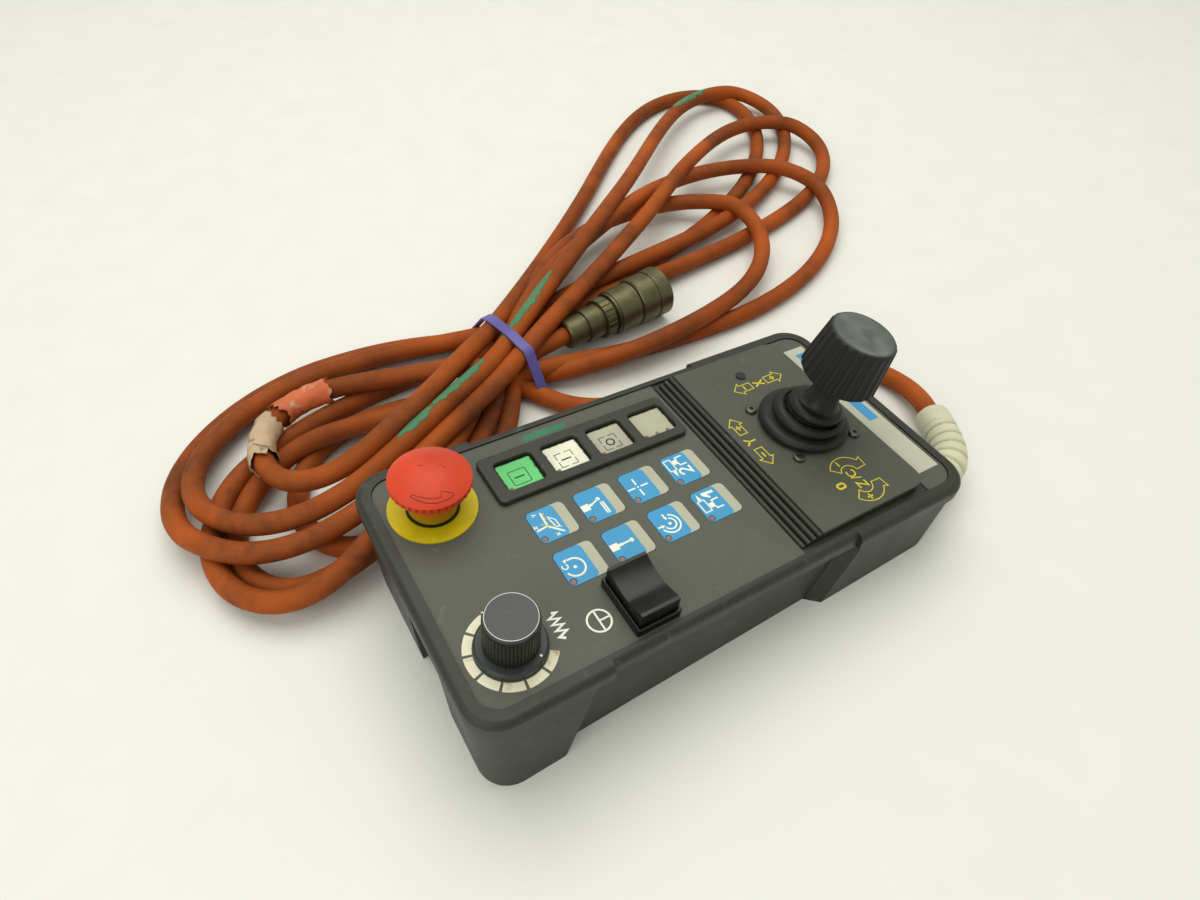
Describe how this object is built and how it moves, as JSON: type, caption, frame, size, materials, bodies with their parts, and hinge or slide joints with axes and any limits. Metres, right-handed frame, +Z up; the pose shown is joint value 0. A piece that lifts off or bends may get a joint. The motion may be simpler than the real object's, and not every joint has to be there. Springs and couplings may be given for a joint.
{
  "type": "coordinate measuring machine hand controller",
  "caption": "Wedge-shaped desk control box with keypad, emergency stop, speed knob, rocker and twist joystick, on a tied orange cable with a round connector.",
  "frame": {"origin": "on the floor under the middle of the case", "axes": "+X from the emergency stop to the joystick, +Y to the guarded keys, +Z up"},
  "size_m": [0.5902, 0.4938, 0.1133],
  "materials": {
    "case_black": "fine textured black casing",
    "foil_grey": "satin dark grey foil",
    "label_silver": "worn silver label",
    "plate_black": "satin black plate",
    "key_blue": "blue key with a grey end",
    "key_green": "green key",
    "key_white": "white key",
    "key_grey": "grey key",
    "window_grey": "grey window",
    "lens_red": "dull red lens",
    "stop_red": "worn red mushroom",
    "stop_yellow": "yellow",
    "knob_black": "black knob",
    "cap_blue_grey": "blue grey cap",
    "rocker_black": "glossy black",
    "boot_rubber": "black rubber",
    "steel": "zinc plated",
    "screw_black": "blackened screws",
    "board_green": "circuit board",
    "brass": "contacts",
    "relief_beige": "beige strain relief",
    "cable_orange": "soiled orange jacket",
    "tie_violet": "violet band",
    "connector_olive": "worn olive plating",
    "insert_black": "insert"
  },
  "bodies": {
    "case": {"lower_shell": "case_black", "upper_frame": "case_black", "keypad_overlay": "foil_grey", "end_overlay": "foil_grey", "end_label": "label_silver", "case_screws": "steel", "key_guard": "case_black", "status_window": "window_grey", "led_lenses": "lens_red", "key_domes": "brass", "keypad_board": "board_green", "main_board": "board_green", "board_standoffs": "steel", "board_screws": "steel", "stop_disc": "stop_yellow", "stop_seal": "boot_rubber", "stop_body": "stop_yellow", "stop_nut": "steel", "stop_contact_block": "knob_black", "speed_pot": "steel", "rocker_housing": "rocker_black", "rocker_blades": "brass", "joystick_plate": "plate_black", "plate_plug": "knob_black", "boot_screws": "screw_black", "joystick_housing": "knob_black", "boot_lower": "boot_rubber", "cable_gland": "steel", "strain_relief": "relief_beige", "cable_lead": "cable_orange", "cable_tail": "cable_orange", "cable_hank": "cable_orange", "cable_tie": "tie_violet", "connector_clamp": "connector_olive", "connector_shell": "connector_olive", "connector_barrel": "connector_olive", "connector_insert": "insert_black"},
    "stop_button": {"stop_stem": "steel"},
    "stop_mushroom": {"stop_head": "stop_red"},
    "speed_dial": {"speed_shaft": "steel", "speed_skirt": "knob_black", "speed_knob": "knob_black", "speed_cap": "cap_blue_grey"},
    "rocker": {"rocker_cap": "rocker_black"},
    "gimbal": {"gimbal_ring": "steel"},
    "stick": {"joystick_stick": "steel", "boot_upper": "boot_rubber"},
    "grip": {"joystick_grip": "knob_black"},
    "coupling": {"connector_ring": "connector_olive"},
    "body_key_far_1": {"key_far_1": "key_blue"},
    "body_key_far_2": {"key_far_2": "key_blue"},
    "body_key_far_3": {"key_far_3": "key_blue"},
    "body_key_far_4": {"key_far_4": "key_blue"},
    "body_key_near_1": {"key_near_1": "key_blue"},
    "body_key_near_2": {"key_near_2": "key_blue"},
    "body_key_near_3": {"key_near_3": "key_blue"},
    "body_key_near_4": {"key_near_4": "key_blue"},
    "body_guarded_key_start": {"guarded_key_start": "key_green"},
    "body_guarded_key_enable": {"guarded_key_enable": "key_white"},
    "body_guarded_key_hold": {"guarded_key_hold": "key_grey"}
  },
  "joints": [
    {"name": "stop_press", "type": "slide", "parent": "case", "child": "stop_button", "axis": [-0.0872, 0, -0.9962], "range_m": [0, 0.005]},
    {"name": "stop_twist", "type": "hinge", "parent": "stop_button", "child": "stop_mushroom", "pos_m": [-0.10466, 0.0373, 0.07976], "axis": [-0.0872, 0, -0.9962], "range_deg": [0, 45], "stiffness_Nm_per_rad": 0.08},
    {"name": "speed_turn", "type": "hinge", "parent": "case", "child": "speed_dial", "pos_m": [-0.10704, -0.0404, 0.0629], "axis": [0.0872, 0, 0.9962], "range_deg": [-150, 150]},
    {"name": "rocker_tilt", "type": "hinge", "parent": "case", "child": "rocker", "pos_m": [-0.05068, -0.0466, 0.05998], "axis": [0.9962, 0, -0.0872], "range_deg": [-7, 7], "stiffness_Nm_per_rad": 0.5},
    {"name": "stick_along", "type": "hinge", "parent": "case", "child": "gimbal", "pos_m": [0.07863, 0, 0.04064], "axis": [0, 1, 0], "range_deg": [-26.5, 9.5], "stiffness_Nm_per_rad": 0.6, "deforming": ["boot_lower", "boot_upper"]},
    {"name": "stick_across", "type": "hinge", "parent": "gimbal", "child": "stick", "pos_m": [0.07863, 0, 0.04064], "axis": [0.9724, 0, -0.2334], "range_deg": [-24, 12], "stiffness_Nm_per_rad": 0.6},
    {"name": "grip_twist", "type": "hinge", "parent": "stick", "child": "grip", "pos_m": [0.08907, -0.0047, 0.08415], "axis": [0.2322, -0.1045, 0.967], "range_deg": [-30, 30], "stiffness_Nm_per_rad": 0.15},
    {"name": "press_key_far_1", "type": "slide", "parent": "case", "child": "body_key_far_1", "axis": [-0.0872, 0, -0.9962], "range_m": [0, 0.0004], "stiffness_N_per_m": 2000},
    {"name": "press_key_far_2", "type": "slide", "parent": "case", "child": "body_key_far_2", "axis": [-0.0872, 0, -0.9962], "range_m": [0, 0.0004], "stiffness_N_per_m": 2000},
    {"name": "press_key_far_3", "type": "slide", "parent": "case", "child": "body_key_far_3", "axis": [-0.0872, 0, -0.9962], "range_m": [0, 0.0004], "stiffness_N_per_m": 2000},
    {"name": "press_key_far_4", "type": "slide", "parent": "case", "child": "body_key_far_4", "axis": [-0.0872, 0, -0.9962], "range_m": [0, 0.0004], "stiffness_N_per_m": 2000},
    {"name": "press_key_near_1", "type": "slide", "parent": "case", "child": "body_key_near_1", "axis": [-0.0872, 0, -0.9962], "range_m": [0, 0.0004], "stiffness_N_per_m": 2000},
    {"name": "press_key_near_2", "type": "slide", "parent": "case", "child": "body_key_near_2", "axis": [-0.0872, 0, -0.9962], "range_m": [0, 0.0004], "stiffness_N_per_m": 2000},
    {"name": "press_key_near_3", "type": "slide", "parent": "case", "child": "body_key_near_3", "axis": [-0.0872, 0, -0.9962], "range_m": [0, 0.0004], "stiffness_N_per_m": 2000},
    {"name": "press_key_near_4", "type": "slide", "parent": "case", "child": "body_key_near_4", "axis": [-0.0872, 0, -0.9962], "range_m": [0, 0.0004], "stiffness_N_per_m": 2000},
    {"name": "press_guarded_key_start", "type": "slide", "parent": "case", "child": "body_guarded_key_start", "axis": [-0.0872, 0, -0.9962], "range_m": [0, 0.0004], "stiffness_N_per_m": 2000},
    {"name": "press_guarded_key_enable", "type": "slide", "parent": "case", "child": "body_guarded_key_enable", "axis": [-0.0872, 0, -0.9962], "range_m": [0, 0.0004], "stiffness_N_per_m": 2000},
    {"name": "press_guarded_key_hold", "type": "slide", "parent": "case", "child": "body_guarded_key_hold", "axis": [-0.0872, 0, -0.9962], "range_m": [0, 0.0004], "stiffness_N_per_m": 2000},
    {"name": "coupling_turn", "type": "hinge", "parent": "case", "child": "coupling", "pos_m": [0.08184, 0.16223, 0.017], "axis": [0.9934, 0.1149, 0], "continuous": true}
  ]
}
